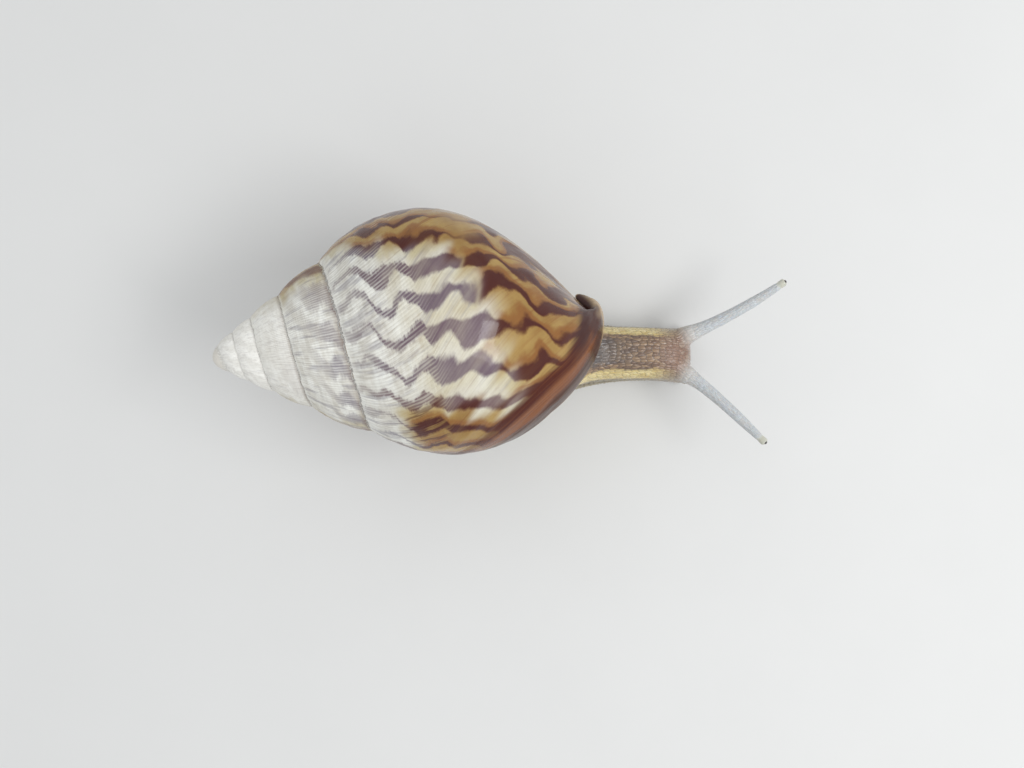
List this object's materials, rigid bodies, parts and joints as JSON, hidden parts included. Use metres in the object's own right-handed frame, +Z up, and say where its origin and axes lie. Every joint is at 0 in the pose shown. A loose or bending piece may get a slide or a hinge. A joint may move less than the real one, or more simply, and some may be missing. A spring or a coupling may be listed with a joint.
{
  "type": "giant african land snail",
  "caption": "Crawling giant african land snail with a pointed, flame-marked spiral shell, stretched neck and raised tentacles.",
  "frame": {"origin": "middle of the outline's box, on the floor under the sole", "axes": "+X towards the head, +Y the snail's left, +Z up"},
  "size_m": [0.0906, 0.0378, 0.0419],
  "materials": {
    "shell": "glossy in front, matt and finely netted on the spire",
    "mantle": "wet",
    "skin": "wet, rows of long warts",
    "tentacle_skin": "wet, fine grain",
    "eye": "glossy"
  },
  "bodies": {
    "root": {"shell": "shell", "mantle_collar": "mantle", "tail": "skin", "foot": "skin", "neck": "skin", "head": "skin", "mouth_lobes": "mantle", "tentacle_base_left": "tentacle_skin", "tentacle_stalk_left": "tentacle_skin", "tentacle_tip_left": "tentacle_skin", "tentacle_base_right": "tentacle_skin", "tentacle_stalk_right": "tentacle_skin", "tentacle_tip_right": "tentacle_skin", "lower_tentacle_left": "tentacle_skin", "lower_tentacle_right": "tentacle_skin", "eye_left": "eye", "eye_right": "eye"}
  },
  "joints": []
}
